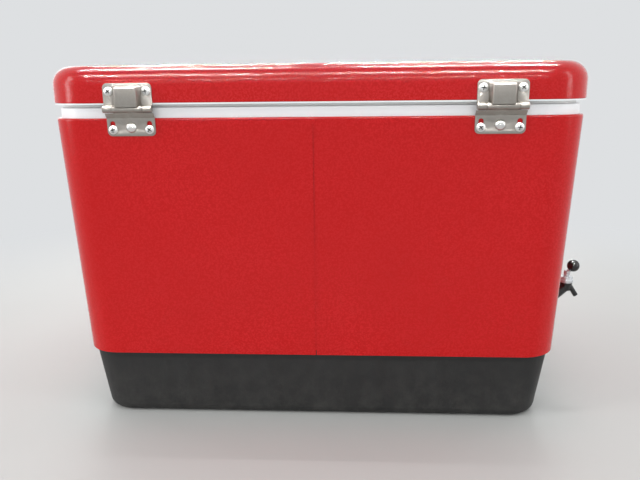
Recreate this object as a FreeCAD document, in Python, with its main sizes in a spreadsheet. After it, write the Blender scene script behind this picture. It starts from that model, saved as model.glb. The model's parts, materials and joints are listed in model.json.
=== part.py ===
import FreeCAD, Part

import math
import os

import Sketcher

# A steel-jacketed chest cooler on a plastic base pan, in millimetres.
# +Z is up, the latch is at the front (-Y), the hinges at the back (+Y), the drain tap on the left end (-X).
# The origin is on the ground under the middle of the pan.

SIZES = {
    # lid
    "lid_end_overhang": 4.0,
    "lid_side_overhang": 5.5,
    "lid_corner": 57.0,
    "lid_edge_round": 20.0,
    "lid_high": 39.5,
    "lid_hem": 7.0,
    "hem_round": 1.2,
    "liner_lip": 1.6,
    "liner_inset": 0.6,
    "tray_margin": 37.0,
    "tray_corner": 40.0,
    "tray_draft": 7.0,
    "tray_depth": 20.5,
    "gasket_inset": 12.5,
    "gasket_wide": 7.0,
    "seal_gap": 0.3,
    "lid_gap": 3.3,
    # body
    "sheet": 0.6,
    "foam_gap": 0.2,
    "body_length": 586.0,
    "body_width": 385.0,
    "body_corner": 42.0,
    "end_draft": 0.0444,
    "side_draft": 0.0298,
    "jacket_low": 79.5,
    "jacket_high": 275.0,
    "jacket_round": 2.4,
    "jacket_flange": 9.0,
    "seam_slot": 0.9,
    "seam_deep": 1.1,
    "seam_lap": 14.0,
    "rim_high": 11.1,
    "rim_inset": 3.0,
    "rim_round": 1.5,
    "wall": 22.0,
    "tub_skin": 2.5,
    "tub_sink": 3.5,
    "tub_corner": 34.0,
    "tub_round": 12.0,
    # base pan
    "pan_inset": 4.0,
    "pan_band": 4.2,
    "pan_step": 1.2,
    "pan_end_draft": 0.162,
    "pan_side_draft": 0.006,
    "pan_round": 10.5,
    "pan_wall": 3.0,
    "collar_lift": 0.5,
    "collar_high": 4.5,
    # hinges
    "hinge_spacing": 392.5,
    "hinge_wide": 52.6,
    "hinge_axis": 364.5,
    "leaf": 1.5,
    "pin_radius": 2.3,
    "pin_play": 0.06,
    "pin_seat": 0.02,
    "knuckle_wall": 1.5,
    "knuckle_long": 9.5,
    "knuckle_play": 0.35,
    "upper_leaf_high": 26.8,
    "lower_leaf_high": 29.0,
    "leaf_corner": 5.0,
    "screw_across": 40.2,
    "upper_screw_up": 18.4,
    "lower_screw_down": 22.2,
    "slot_high": 12.0,
    "hood_wide": 31.2,
    "hood_face_wide": 23.0,
    "hood_top": 24.5,
    "hood_face_top": 22.6,
    "hood_low": 1.9,
    "hood_round": 2.4,
    "rivet_radius": 6.2,
    "rivet_high": 4.2,
    "rivet_down": 19.6,
    # screws
    "head_radius": 4.7,
    "head_rim": 0.9,
    "head_dome": 1.7,
    "shank_radius": 1.9,
    "shank_long": 9.0,
    "shank_play": 0.3,
    "cross_wide": 1.3,
    "cross_long": 5.2,
    "cross_deep": 1.9,
    # latch
    "latch_wide": 52.0,
    "latch_axis": 375.0,
    "latch_out": 5.5,
    "latch_plate_high": 24.0,
    "latch_knuckle": 11.0,
    "latch_screw_across": 34.0,
    "latch_screw_up": 14.0,
    "hasp_wide": 40.0,
    "hasp_long": 46.0,
    "hasp_tab": 10.0,
    "hasp_tab_lean": 37.0,
    "window_wide": 18.0,
    "window_high": 12.5,
    "window_down": 32.0,
    "nose_wide": 14.0,
    "nose_high": 9.0,
    "nose_reach": 9.4,
    "nose_lip": 1.5,
    "keeper_wide": 44.0,
    "keeper_high": 30.0,
    "keeper_screw_across": 30.0,
    # end handles
    "handle_axis": 245.0,
    "handle_out": 11.0,
    "bracket_spread": 150.0,
    "bracket_wide": 30.0,
    "bracket_high": 46.0,
    "bracket_sheet": 1.6,
    "bracket_corner": 5.0,
    "ear_radius": 7.0,
    "ear_long": 13.0,
    "bracket_screw": 15.5,
    "bail_radius": 3.5,
    "bail_play": 0.06,
    "bail_bend": 9.0,
    "bail_clear": 1.0,
    "bail_drop": 62.0,
    "grip_radius": 10.0,
    "grip_round": 3.0,
    "grip_end": 2.0,
    # drain tap
    "tap_side": 48.0,
    "tap_rise": 17.5,
    "shank_bore": 5.5,
    "shank_out": 8.5,
    "shank_fit": 0.1,
    "shank_hole": 0.3,
    "washer_radius": 12.5,
    "washer": 2.0,
    "boss_radius": 14.5,
    "boss": 3.0,
    "nut_across": 24.0,
    "nut_thick": 6.0,
    "flange_radius": 14.5,
    "flange_thick": 3.0,
    "hub_radius": 11.0,
    "hub_long": 9.0,
    "hub_wall": 2.0,
    "riser_radius": 7.0,
    "riser_bore": 3.6,
    "stem_out": 42.5,
    "barrel_radius": 8.2,
    "barrel_waist": 7.2,
    "barrel_collar": 3.5,
    "barrel_low": 23.5,
    "barrel_top": 34.0,
    "plug_radius": 5.2,
    "plug_play": 0.06,
    "plug_floor": 2.0,
    "plug_port": 3.2,
    "spout_radius": 3.2,
    "spout_bore": 2.0,
    "spout_long": 17.5,
    "spout_angle": 54.0,
    "spout_out": 4.5,
    "spout_down": 3.6,
    "bonnet_radius": 8.8,
    "bonnet_high": 8.0,
    "stem_radius": 4.0,
    "stem_high": 16.0,
    "lever_radius": 2.6,
    "lever_lean": 31.3,
    "lever_long": 14.0,
    "knob_radius": 7.9,
}

doc = FreeCAD.newDocument("Cooler")
sheet = doc.addObject("Spreadsheet::Sheet", "Sizes")
nodes = []


class Size:
    # A size worked out from the sheet: its formula there, and its value now.
    def __init__(self, formula, value):
        self.formula = formula
        self.value = value

    def __add__(self, other):
        other = as_size(other)
        return Size(f"({self.formula} + {other.formula})", self.value + other.value)

    def __sub__(self, other):
        other = as_size(other)
        return Size(f"({self.formula} - {other.formula})", self.value - other.value)

    def __mul__(self, other):
        other = as_size(other)
        return Size(f"({self.formula} * {other.formula})", self.value * other.value)

    def __truediv__(self, other):
        other = as_size(other)
        return Size(f"({self.formula} / {other.formula})", self.value / other.value)

    def __neg__(self):
        return as_size(0) - self

    def __radd__(self, other):
        return as_size(other) + self

    def __rsub__(self, other):
        return as_size(other) - self

    def __rmul__(self, other):
        return as_size(other) * self


def as_size(number):
    if isinstance(number, Size):
        return number
    return Size(repr(float(number)), float(number))


def cosine(angle):
    return Size(f"cos({angle.formula} * 1deg)", math.cos(math.radians(angle.value)))


def sine(angle):
    return Size(f"sin({angle.formula} * 1deg)", math.sin(math.radians(angle.value)))


def slope_angle(slope):
    return Size(f"(atan({slope.formula}) / 1deg)", math.degrees(math.atan(slope.value)))


def fill_sheet():
    # One row per size: its name in column A, its number in column B.
    for row, (name, number) in enumerate(SIZES.items(), start=1):
        sheet.set(f"A{row}", name)
        sheet.set(f"B{row}", str(number))
        sheet.setAlias(f"B{row}", name)
    doc.recompute()


def size(name):
    return Size(f"Sizes.{name}", SIZES[name])


def bind(thing, prop, amount):
    thing.setExpression(prop, as_size(amount).formula)


def place(thing, x=0, y=0, z=0, axis=(0, 0, 1), angle=0):
    # The turn comes first, about the thing's own origin, then the move.
    x, y, z, angle = as_size(x), as_size(y), as_size(z), as_size(angle)
    spot = FreeCAD.Vector(x.value, y.value, z.value)
    thing.Placement = FreeCAD.Placement(spot, FreeCAD.Rotation(FreeCAD.Vector(*axis), angle.value))
    bind(thing, "Placement.Base.x", x)
    bind(thing, "Placement.Base.y", y)
    bind(thing, "Placement.Base.z", z)
    if "Sizes" in angle.formula:
        bind(thing, "Placement.Rotation.Angle", angle)
    return thing


# Turns that lay a cylinder's axis along a row axis.
ALONG = {"X": ((0, 1, 0), 90), "Y": ((-1, 0, 0), 90), "Z": ((0, 0, 1), 0)}


def cylinder(name, radius, length, x=0, y=0, z=0, along="Z"):
    piece = doc.addObject("Part::Cylinder", name)
    bind(piece, "Radius", radius)
    bind(piece, "Height", length)
    return place(piece, x, y, z, *ALONG[along])


def box(name, x0, x1, y0, y1, z0, z1):
    piece = doc.addObject("Part::Box", name)
    bind(piece, "Length", as_size(x1) - x0)
    bind(piece, "Width", as_size(y1) - y0)
    bind(piece, "Height", as_size(z1) - z0)
    return place(piece, x0, y0, z0)


def fuse(name, *pieces):
    joined = doc.addObject("Part::MultiFuse", name)
    joined.Shapes = list(pieces)
    joined.Refine = True
    return joined


def cut(name, base, *tools):
    tool = tools[0]
    if len(tools) > 1:
        tool = fuse(name + "_cuts", *tools)
    left = doc.addObject("Part::Cut", name)
    left.Base = base
    left.Tool = tool
    left.Refine = True
    return left


def together(name, *pieces):
    # Identical pieces of one node, kept as separate solids.
    bundle = doc.addObject("Part::Compound", name)
    bundle.Links = list(pieces)
    return bundle


def mirrored(name, piece):
    # The left end's copy of a piece made for the right end.
    copy = doc.addObject("Part::Mirroring", name)
    copy.Source = piece
    copy.Normal = FreeCAD.Vector(1, 0, 0)
    return copy


def node(piece, label):
    piece.Label = label
    nodes.append(piece)
    return piece


def origin_plane(body, role):
    return [item for item in body.Origin.OriginFeatures if item.Role == role][0]


def new_sketch(body, name, role, offset):
    sketch = body.newObject("Sketcher::SketchObject", name)
    sketch.AttachmentSupport = [(origin_plane(body, role), "")]
    sketch.MapMode = "FlatFace"
    bind(sketch, "AttachmentOffset.Base.z", offset)
    return sketch


def name_lengths(sketch, first, named):
    for index, (label, amount) in enumerate(named, start=first):
        sketch.renameConstraint(index, label)
        bind(sketch, f"Constraints.{label}", amount)


def rounded(body, name, role, x0, x1, y0, y1, corner, offset=0):
    # A rectangle with four equal round corners, placed from the sketch's origin.
    x0, x1, y0, y1, corner = (as_size(value) for value in (x0, x1, y0, y1, corner))
    sketch = new_sketch(body, name, role, offset)
    left, right, low, high, r = x0.value, x1.value, y0.value, y1.value, corner.value
    centres = [(right - r, low + r), (right - r, high - r), (left + r, high - r), (left + r, low + r)]
    corners = []
    for turn, (cx, cy) in enumerate(centres):
        circle = Part.Circle(FreeCAD.Vector(cx, cy, 0), FreeCAD.Vector(0, 0, 1), r)
        start = (turn - 1) * math.pi / 2
        corners.append(Part.ArcOfCircle(circle, start, start + math.pi / 2))
    geometry = []
    for turn in range(4):
        geometry.append(Part.LineSegment(corners[turn - 1].EndPoint, corners[turn].StartPoint))
        geometry.append(corners[turn])
    sketch.addGeometry(geometry, False)
    rules = [Sketcher.Constraint("Tangent", item, 2, (item + 1) % 8, 1) for item in range(8)]
    rules += [Sketcher.Constraint("Horizontal", item) for item in (0, 4)]
    rules += [Sketcher.Constraint("Vertical", item) for item in (2, 6)]
    rules += [Sketcher.Constraint("Equal", 1, item) for item in (3, 5, 7)]
    first = len(rules)
    rules.append(Sketcher.Constraint("Radius", 1, r))
    rules.append(Sketcher.Constraint("DistanceX", -1, 1, 6, 1, left))
    rules.append(Sketcher.Constraint("DistanceX", -1, 1, 2, 1, right))
    rules.append(Sketcher.Constraint("DistanceY", -1, 1, 0, 1, low))
    rules.append(Sketcher.Constraint("DistanceY", -1, 1, 4, 1, high))
    sketch.addConstraint(rules)
    named = [("corner", corner), ("left", x0), ("right", x1), ("low", y0), ("high", y1)]
    name_lengths(sketch, first, named)
    return sketch


def profile(body, name, role, points, offset=0):
    # A closed outline of straight runs; every point is placed from the sketch's origin.
    points = [(as_size(x), as_size(y)) for x, y in points]
    sketch = new_sketch(body, name, role, offset)
    spots = [FreeCAD.Vector(x.value, y.value, 0) for x, y in points]
    count = len(points)
    lines = [Part.LineSegment(spots[item], spots[(item + 1) % count]) for item in range(count)]
    sketch.addGeometry(lines, False)
    rules = [Sketcher.Constraint("Coincident", item, 2, (item + 1) % count, 1) for item in range(count)]
    first = len(rules)
    named = []
    for item, (x, y) in enumerate(points):
        rules.append(Sketcher.Constraint("DistanceX", -1, 1, item, 1, x.value))
        rules.append(Sketcher.Constraint("DistanceY", -1, 1, item, 1, y.value))
        named += [(f"across{item}", x), (f"up{item}", y)]
    sketch.addConstraint(rules)
    name_lengths(sketch, first, named)
    return sketch


def new_body(name):
    return doc.addObject("PartDesign::Body", name)


def pad(body, name, sketch, length, backwards=False, both_ways=False):
    feature = body.newObject("PartDesign::Pad", name)
    feature.Profile = sketch
    feature.Reversed = backwards
    if both_ways:
        feature.SideType = "Symmetric"
    bind(feature, "Length", length)
    doc.recompute()
    return feature


def edges_where(shape, wanted):
    return [f"Edge{place}" for place, edge in enumerate(shape.Edges, start=1) if wanted(edge.BoundBox)]


def round_edges(body, name, feature, wanted, radius):
    rounding = body.newObject("PartDesign::Fillet", name)
    rounding.Base = (feature, edges_where(feature.Shape, wanted))
    bind(rounding, "Radius", radius)
    doc.recompute()
    return rounding


def level(height):
    # Picks the edges that lie flat at one height.
    return lambda bounds: abs(bounds.ZMin - height.value) < 1e-3 and abs(bounds.ZMax - height.value) < 1e-3


def upright_wedge(body, name, kind):
    # A wedge whose own Y runs up the body's Z, and whose own Z runs towards the front.
    block = body.newObject(kind, name)
    block.AttachmentSupport = [(origin_plane(body, "XY_Plane"), "")]
    block.MapMode = "FlatFace"
    upright = FreeCAD.Rotation(FreeCAD.Vector(1, 0, 0), 90)
    block.AttachmentOffset = FreeCAD.Placement(FreeCAD.Vector(0, 0, 0), upright)
    return block


def wedge(body, name, low, high, z0, z1):
    # A block about Z that goes from one length and width at z0 to another at z1.
    block = upright_wedge(body, name, "PartDesign::AdditiveWedge")
    bind(block, "Ymin", z0)
    bind(block, "Ymax", z1)
    for prefix, (long, wide) in (("", low), ("2", high)):
        for letter, span in (("X", long), ("Z", wide)):
            bind(block, f"{letter}{prefix}min", -span / 2)
            bind(block, f"{letter}{prefix}max", span / 2)
    doc.recompute()
    return block


def tapered(name, low, high, z0, z1, corner, low_round=None, high_round=None):
    # A closed form with leaning sides, round upright corners and, where asked, round top or bottom edges.
    body = new_body(name)
    z0, z1 = as_size(z0), as_size(z1)
    last = wedge(body, name + "_block", low, high, z0, z1)
    last = round_edges(body, name + "_corners", last, lambda bounds: bounds.ZLength > 1e-3, corner)
    if low_round is not None:
        last = round_edges(body, name + "_low", last, level(z0), low_round)
    if high_round is not None:
        round_edges(body, name + "_high", last, level(z1), high_round)
    return body


fill_sheet()

# Heights and faces that several pieces share. The tub's floor lies a little below the jacket's lower edge.
jacket_top = size("jacket_low") + size("jacket_high")
tub_floor = size("jacket_low") - size("tub_sink")
rim_top = jacket_top + size("rim_high")
liner_low = rim_top + size("lid_gap")
lid_low = liner_low + size("liner_lip")
lid_top = lid_low + size("lid_high")
end_slope = size("end_draft")
side_slope = size("side_draft")
end_lean = slope_angle(end_slope)
side_lean = slope_angle(side_slope)
lid_face = size("body_width") / 2 + size("lid_side_overhang")
knuckle_radius = size("pin_radius") + size("pin_play") + size("knuckle_wall")


def end_face(height):
    return size("body_length") / 2 - end_slope * (jacket_top - height)


def side_face(height):
    return size("body_width") / 2 - side_slope * (jacket_top - height)


def body_span(height, inset):
    # Length and width of the body's outline at a height, brought in by an inset on every side.
    return (end_face(height) - inset) * 2, (side_face(height) - inset) * 2


def lid_span(inset):
    long = size("body_length") + (size("lid_end_overhang") - inset) * 2
    wide = size("body_width") + (size("lid_side_overhang") - inset) * 2
    return long, wide


def pan_foot(inset):
    # The pan's outline at the ground, brought in by an inset on every side.
    drop = size("jacket_low") - size("pan_band")
    long, wide = body_span(size("jacket_low"), size("pan_inset") + size("pan_step") + inset)
    return long - size("pan_end_draft") * drop * 2, wide - size("pan_side_draft") * drop * 2


strip_near = size("sheet") * 0.75
strip_far = strip_near + size("sheet") * 2
strip_low = size("jacket_low") + size("collar_lift") + size("collar_high") + size("foam_gap") * 2


def seam_block(name, wide, near, far, low, spare=0):
    # A block along the back seam that leans with the wall; near and far are depths behind its face.
    block = doc.addObject("Part::Box", name)
    bind(block, "Length", wide)
    bind(block, "Width", far - near)
    bind(block, "Height", jacket_top - low - size("jacket_round") * 2 + spare)
    return place(block, -wide / 2, side_face(low) - far, low, (-1, 0, 0), side_lean)


def outer_jacket():
    thin = size("sheet")
    low = size("jacket_low")
    outside = tapered("jacket_outside", body_span(low, 0), body_span(jacket_top, 0), low, jacket_top,
                      size("body_corner"), high_round=size("jacket_round"))
    under_top = jacket_top - thin
    inside = tapered("jacket_inside", body_span(low, thin), body_span(under_top, thin), low, under_top,
                     size("body_corner") - thin, high_round=size("jacket_round") - thin)
    mouth_span = body_span(jacket_top, size("jacket_flange"))
    mouth = tapered("jacket_mouth", mouth_span, mouth_span, under_top - thin, jacket_top + thin,
                    size("body_corner") - size("jacket_flange"))
    # The back seam: a folded strip of two sheets behind the wall, and the groove where the edges meet.
    strip = seam_block("jacket_strip", size("seam_lap"), strip_near, strip_far, strip_low)
    groove = seam_block("jacket_groove", size("seam_slot"), -thin, size("seam_deep"), low - thin)
    lapped = fuse("jacket_lapped", cut("jacket_shell", outside, inside, mouth), strip)
    node(cut("jacket_cut", lapped, groove, tap_bore("jacket_tap_hole", size("shank_hole"))), "outer_jacket")


def base_pan():
    low = size("jacket_low")
    main_top = low - size("pan_band")
    collar_low = low + size("collar_lift")
    collar_top = collar_low + size("collar_high")
    inset = size("pan_inset") + size("pan_step")
    corner = size("body_corner") - inset
    main = tapered("pan_main", pan_foot(as_size(0)), body_span(low, inset), 0, main_top, corner,
                   low_round=size("pan_round"))
    band_span = body_span(low, size("pan_inset"))
    band = tapered("pan_band_form", band_span, band_span, main_top, collar_low,
                   size("body_corner") - size("pan_inset"))
    gap = size("sheet") + size("foam_gap")
    collar = tapered("pan_collar", body_span(collar_low, gap), body_span(collar_top, gap),
                     collar_low, collar_top, size("body_corner") - gap)
    thick = size("pan_wall")
    hollow = tapered("pan_hollow", pan_foot(thick), body_span(low, inset + thick), thick, main_top,
                     corner - thick, low_round=size("pan_round") - thick)
    deep = inset + thick + size("pan_step")
    neck_span = body_span(low, deep)
    neck = tapered("pan_neck", neck_span, neck_span, main_top - thick, collar_top + thick,
                   size("body_corner") - deep)
    node(cut("pan_cut", fuse("pan_solid", main, band, collar), hollow, neck), "base_pan")


def tub_form(name, skin, z0, z1):
    # The tub's inside when skin is 0, or its outside, brought out by the skin.
    inset = size("wall") - skin
    return tapered(name, body_span(z0, inset), body_span(z1, inset), z0, z1,
                   size("tub_corner") + skin, low_round=size("tub_round") + skin)


def inner_tub():
    skin = size("tub_skin")
    outside = tub_form("tub_outside", skin, tub_floor - skin, jacket_top)
    rim_span = body_span(jacket_top, size("rim_inset"))
    rim = tapered("tub_rim", rim_span, rim_span, jacket_top, rim_top,
                  size("body_corner") + size("rim_inset"), high_round=size("rim_round"))
    inside = tub_form("tub_inside", as_size(0), tub_floor, rim_top)
    sunk = size("foam_gap")
    boss = on_tap(cylinder("tub_boss_form", size("boss_radius"), size("boss") + sunk,
                           size("wall") - sunk, 0, 0, "X"))
    shell = cut("tub_shell", fuse("tub_solid", rim, outside), inside)
    node(cut("tub_cut", fuse("tub_bossed", shell, boss), tap_bore("tub_tap_hole", size("shank_hole"))),
         "inner_tub")


def body_insulation():
    gap = size("foam_gap")
    low = size("jacket_low")
    main_top = low - size("pan_band")
    collar_top = low + size("collar_lift") + size("collar_high")
    deep = size("pan_wall") + gap
    inset = size("pan_inset") + size("pan_step") + deep
    corner = size("body_corner") - inset
    below = tapered("foam_below", pan_foot(deep), body_span(low, inset), deep, main_top, corner,
                    low_round=size("pan_round") - size("pan_wall"))
    narrow = inset + size("pan_step")
    neck_span = body_span(low, narrow)
    neck = tapered("foam_neck", neck_span, neck_span, main_top - deep, collar_top + deep,
                   size("body_corner") - narrow)
    skin_gap = size("sheet") + gap
    top = jacket_top - size("sheet") - gap
    above = tapered("foam_above", body_span(collar_top + gap, skin_gap), body_span(top, skin_gap),
                    collar_top + gap, top, size("body_corner") - skin_gap, high_round=size("jacket_round"))
    skin = size("tub_skin") + gap
    room = tub_form("foam_room", skin, tub_floor - skin, jacket_top)
    channel = seam_block("foam_channel", size("seam_lap") + gap * 2, size("sheet"), strip_far + gap,
                         strip_low - gap, gap * 2)
    node(cut("foam_cut", fuse("foam_solid", below, neck, above), room, channel,
             tap_bore("foam_tap_hole", size("shank_hole"))), "body_insulation")


def lid_shell():
    thin = size("sheet")
    outside = tapered("lid_outside", lid_span(0), lid_span(0), lid_low, lid_top, size("lid_corner"),
                      low_round=size("hem_round"), high_round=size("lid_edge_round"))
    inside = tapered("lid_inside", lid_span(thin), lid_span(thin), lid_low + thin, lid_top - thin,
                     size("lid_corner") - thin, high_round=size("lid_edge_round") - thin)
    hem = thin + size("lid_hem")
    mouth = tapered("lid_mouth", lid_span(hem), lid_span(hem), lid_low - thin, lid_low + thin * 2,
                    size("lid_corner") - hem)
    node(cut("lid_shell_cut", outside, inside, mouth), "lid_shell")


def tray_form(name, skin, z0, z1):
    # The recess under the lid: its inside when skin is 0, or its outside.
    span = lid_span(size("tray_margin") - skin)
    top_span = lid_span(size("tray_margin") + size("tray_draft") - skin)
    return tapered(name, span, top_span, z0, z1, size("tray_corner") + skin,
                   high_round=size("tray_draft") + skin)


def lid_liner():
    skin = size("tub_skin")
    flange_span = lid_span(size("liner_inset"))
    flange = tapered("liner_flange", flange_span, flange_span, liner_low, lid_low,
                     size("lid_corner") - size("liner_inset"))
    tray = tray_form("liner_tray", skin, lid_low, liner_low + size("tray_depth") + skin)
    recess = tray_form("liner_recess", as_size(0), liner_low, liner_low + size("tray_depth"))
    node(cut("liner_cut", fuse("liner_solid", flange, tray), recess), "lid_liner")


def lid_insulation():
    gap = size("sheet") + size("foam_gap")
    skin = size("tub_skin") + size("foam_gap")
    block = tapered("lid_foam_block", lid_span(gap), lid_span(gap), lid_low + gap, lid_top - gap,
                    size("lid_corner") - gap, high_round=size("lid_edge_round") - gap)
    room = tray_form("lid_foam_room", skin, lid_low, liner_low + size("tray_depth") + skin)
    node(cut("lid_foam_cut", block, room), "lid_insulation")


def lid_gasket():
    z0 = rim_top + size("seal_gap")
    outer = lid_span(size("gasket_inset"))
    inner = lid_span(size("gasket_inset") + size("gasket_wide"))
    corner = size("body_corner") + size("gasket_wide") - size("gasket_inset")
    ring = tapered("gasket_ring", outer, outer, z0, liner_low, corner)
    hole = tapered("gasket_hole", inner, inner, z0 - 1, liner_low + 1, corner - size("gasket_wide"))
    node(cut("gasket_cut", ring, hole), "lid_gasket")


def pan_screw(name, turn, x, y, z, axis, angle):
    # A pan-head screw with a cross recess: head above its origin, shank below, before it is placed.
    # Its cross is left at whatever turn it was tightened to.
    dome_radius = (size("head_radius") * size("head_radius") + size("head_dome") * size("head_dome")) \
        / (size("head_dome") * 2)
    dome = doc.addObject("Part::Sphere", name + "_dome")
    bind(dome, "Radius", dome_radius)
    place(dome, 0, 0, size("head_rim") + size("head_dome") - dome_radius)
    limit = cylinder(name + "_limit", size("head_radius"), size("head_rim") + size("head_dome"))
    dome_part = doc.addObject("Part::Common", name + "_head")
    dome_part.Base = limit
    dome_part.Tool = dome
    shank = cylinder(name + "_shank", size("shank_radius"), size("shank_long") + size("head_rim"),
                     0, 0, -size("shank_long"))
    half = size("cross_long") / 2
    thin = size("cross_wide") / 2
    top = size("head_rim") + size("head_dome")
    deep = top - size("cross_deep")
    first = box(name + "_slot", -half, half, -thin, thin, deep, top + 1)
    second = box(name + "_slot_across", -thin, thin, -half, half, deep, top + 1)
    cross = place(fuse(name + "_cross", first, second), 0, 0, 0, (0, 0, 1), turn)
    screw = cut(name, fuse(name + "_solid", dome_part, shank), cross)
    return place(screw, x, y, z, axis, angle)


# Turns that point a screw's head outwards, square to each face.
TO_BACK = ((-1, 0, 0), as_size(90))
TO_BACK_LEANING = ((-1, 0, 0), as_size(90) + side_lean)
TO_FRONT = ((1, 0, 0), as_size(90))
TO_FRONT_LEANING = ((1, 0, 0), as_size(90) + side_lean)
TO_RIGHT_LEANING = ((0, 1, 0), as_size(90) + end_lean)

pin_line = lid_face + knuckle_radius
hinge_middle = size("hinge_spacing") / 2
half_hinge = size("hinge_wide") / 2
roll_half = half_hinge - size("knuckle_long") - size("knuckle_play")


def both_hinges(piece, part):
    # The right-hand piece is moved out to its hinge, and the left-hand one mirrors it.
    piece.Placement.Base.x = hinge_middle.value
    bind(piece, "Placement.Base.x", hinge_middle)
    node(piece, f"hinge_right_{part}")
    node(mirrored(f"left_{part}", piece), f"hinge_left_{part}")


def hood(name, kind, body, skin):
    # The pocket pressed out of the upper leaf, which clears the lower leaf's roll.
    face = knuckle_radius * 2 + size("knuckle_play") * 2 + size("leaf")
    block = body.newObject(kind, name)
    bind(block, "Ymin", lid_face - skin)
    bind(block, "Ymax", lid_face + face - skin)
    bind(block, "Xmin", skin - size("hood_wide") / 2)
    bind(block, "Xmax", size("hood_wide") / 2 - skin)
    bind(block, "X2min", skin - size("hood_face_wide") / 2)
    bind(block, "X2max", size("hood_face_wide") / 2 - skin)
    bind(block, "Zmin", size("hinge_axis") + size("hood_low") - skin)
    bind(block, "Z2min", size("hinge_axis") + size("hood_low") - skin)
    bind(block, "Zmax", size("hinge_axis") + size("hood_top") - skin)
    bind(block, "Z2max", size("hinge_axis") + size("hood_face_top") - skin)
    doc.recompute()
    return block


def hinge_upper_leaf():
    axis = size("hinge_axis")
    body = new_body("upper_leaf_body")
    sketch = rounded(body, "upper_leaf_outline", "XZ_Plane", -half_hinge, half_hinge, axis,
                     axis + size("upper_leaf_high"), size("leaf_corner"), -lid_face)
    pad(body, "upper_leaf_plate", sketch, size("leaf"), backwards=True)
    hooded = hood("upper_leaf_hood", "PartDesign::AdditiveWedge", body, as_size(0))
    foot = axis.value + size("hood_low").value
    round_edges(body, "upper_leaf_hood_edges", hooded,
                lambda bounds: bounds.YMax > lid_face.value + size("leaf").value + 1 and bounds.ZMax > foot + 1,
                size("hood_round"))
    hood("upper_leaf_pocket", "PartDesign::SubtractiveWedge", body, size("leaf"))
    knuckle = size("knuckle_long")
    pieces = [body]
    for side, start in (("a", -half_hinge), ("b", half_hinge - knuckle)):
        pieces.append(cylinder(f"upper_knuckle_{side}", knuckle_radius, knuckle, start, pin_line, axis, "X"))
        pieces.append(box(f"upper_arm_{side}", start, start + knuckle, lid_face, lid_face + size("leaf"),
                          axis, axis + size("leaf_corner")))
    bore = cylinder("upper_bore", size("pin_radius") + size("pin_seat"), size("hinge_wide") + 2,
                    -half_hinge - 1, pin_line, axis, "X")
    clear = size("knuckle_play")
    notch = box("upper_notch", -roll_half - clear, roll_half + clear, lid_face - 1,
                pin_line, axis - knuckle_radius - 1, axis + knuckle_radius + clear)
    sweep = cylinder("upper_sweep", knuckle_radius + clear, (roll_half + clear) * 2, -roll_half - clear,
                     pin_line, axis, "X")
    holes = []
    for side in (-1, 1):
        holes.append(cylinder(f"upper_hole{side + 1}", size("shank_radius") + size("shank_play"),
                              size("leaf") * 4, size("screw_across") / 2 * side,
                              lid_face - size("leaf") * 2, axis + size("upper_screw_up"), "Y"))
    leaf = cut("upper_leaf_cut", fuse("upper_leaf_solid", *pieces), bore, notch, sweep, *holes)
    both_hinges(leaf, "upper_leaf")


def hinge_lower_leaf():
    axis = size("hinge_axis")
    thick = size("leaf")
    low = axis - size("lower_leaf_high")
    bend_top = axis - knuckle_radius
    bend_low = jacket_top
    body = new_body("lower_leaf_body")
    inner = [(lid_face, axis), (lid_face, bend_top), (side_face(bend_low), bend_low), (side_face(low), low)]
    outer = [(y + thick, z) for y, z in reversed(inner)]
    sketch = profile(body, "lower_leaf_outline", "YZ_Plane", inner + outer)
    plate = pad(body, "lower_leaf_plate", sketch, size("hinge_wide"), both_ways=True)
    round_edges(body, "lower_leaf_corners", plate,
                lambda bounds: abs(bounds.ZMax - low.value) < 1e-3 and bounds.XLength < 1e-3,
                size("leaf_corner"))
    roll = cylinder("lower_roll", knuckle_radius, roll_half * 2, -roll_half, pin_line, axis, "X")
    cuts = [cylinder("lower_bore", size("pin_radius") + size("pin_play"), size("hinge_wide"),
                     -half_hinge, pin_line, axis, "X")]
    below = axis - knuckle_radius - size("knuckle_play") * 2
    for side, start, end in (("a", -half_hinge - 1, -roll_half), ("b", roll_half, half_hinge + 1)):
        cuts.append(box(f"lower_notch_{side}", start, end, lid_face - 1, pin_line, below, axis + 1))
    hole = size("shank_radius") + size("shank_play") * 3
    screw_height = axis - size("lower_screw_down")
    for side in (-1, 1):
        x = size("screw_across") / 2 * side
        slot_body = new_body(f"lower_slot_body{side + 1}")
        outline = rounded(slot_body, f"lower_slot_outline{side + 1}", "XZ_Plane", x - hole, x + hole,
                          screw_height - hole, screw_height - hole + size("slot_high"), hole * 0.98,
                          -pin_line)
        pad(slot_body, f"lower_slot{side + 1}", outline, size("lid_gap") * 5)
        cuts.append(slot_body)
    cuts.append(cylinder("rivet_hole", size("shank_radius") + size("shank_play"), size("lid_gap") * 5, 0,
                         side_face(jacket_top) - size("lid_gap") * 2, axis - size("rivet_down"), "Y"))
    both_hinges(cut("lower_leaf_cut", fuse("lower_leaf_solid", body, roll), *cuts), "lower_leaf")


def hinge_pin():
    pin = cylinder("hinge_pin_rod", size("pin_radius"), size("hinge_wide"), 0, 0, -half_hinge)
    held = together("hinge_pin_moved", place(pin, -half_hinge, pin_line, size("hinge_axis"), (0, 1, 0), 90))
    both_hinges(held, "pin")


def hinge_screws():
    half = size("screw_across") / 2
    high = size("hinge_axis") + size("upper_screw_up")
    upper = [pan_screw(f"upper_screw{side + 1}", 25 + 15 * side, half * side, lid_face + size("leaf"), high,
                       *TO_BACK) for side in (-1, 1)]
    both_hinges(together("upper_screws", *upper), "upper_screws")
    low = size("hinge_axis") - size("lower_screw_down")
    lower = [pan_screw(f"lower_screw{side + 1}", 30 - 22 * side, half * side, side_face(low) + size("leaf"),
                       low, *TO_BACK_LEANING) for side in (-1, 1)]
    both_hinges(together("lower_screws", *lower), "lower_screws")


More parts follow.
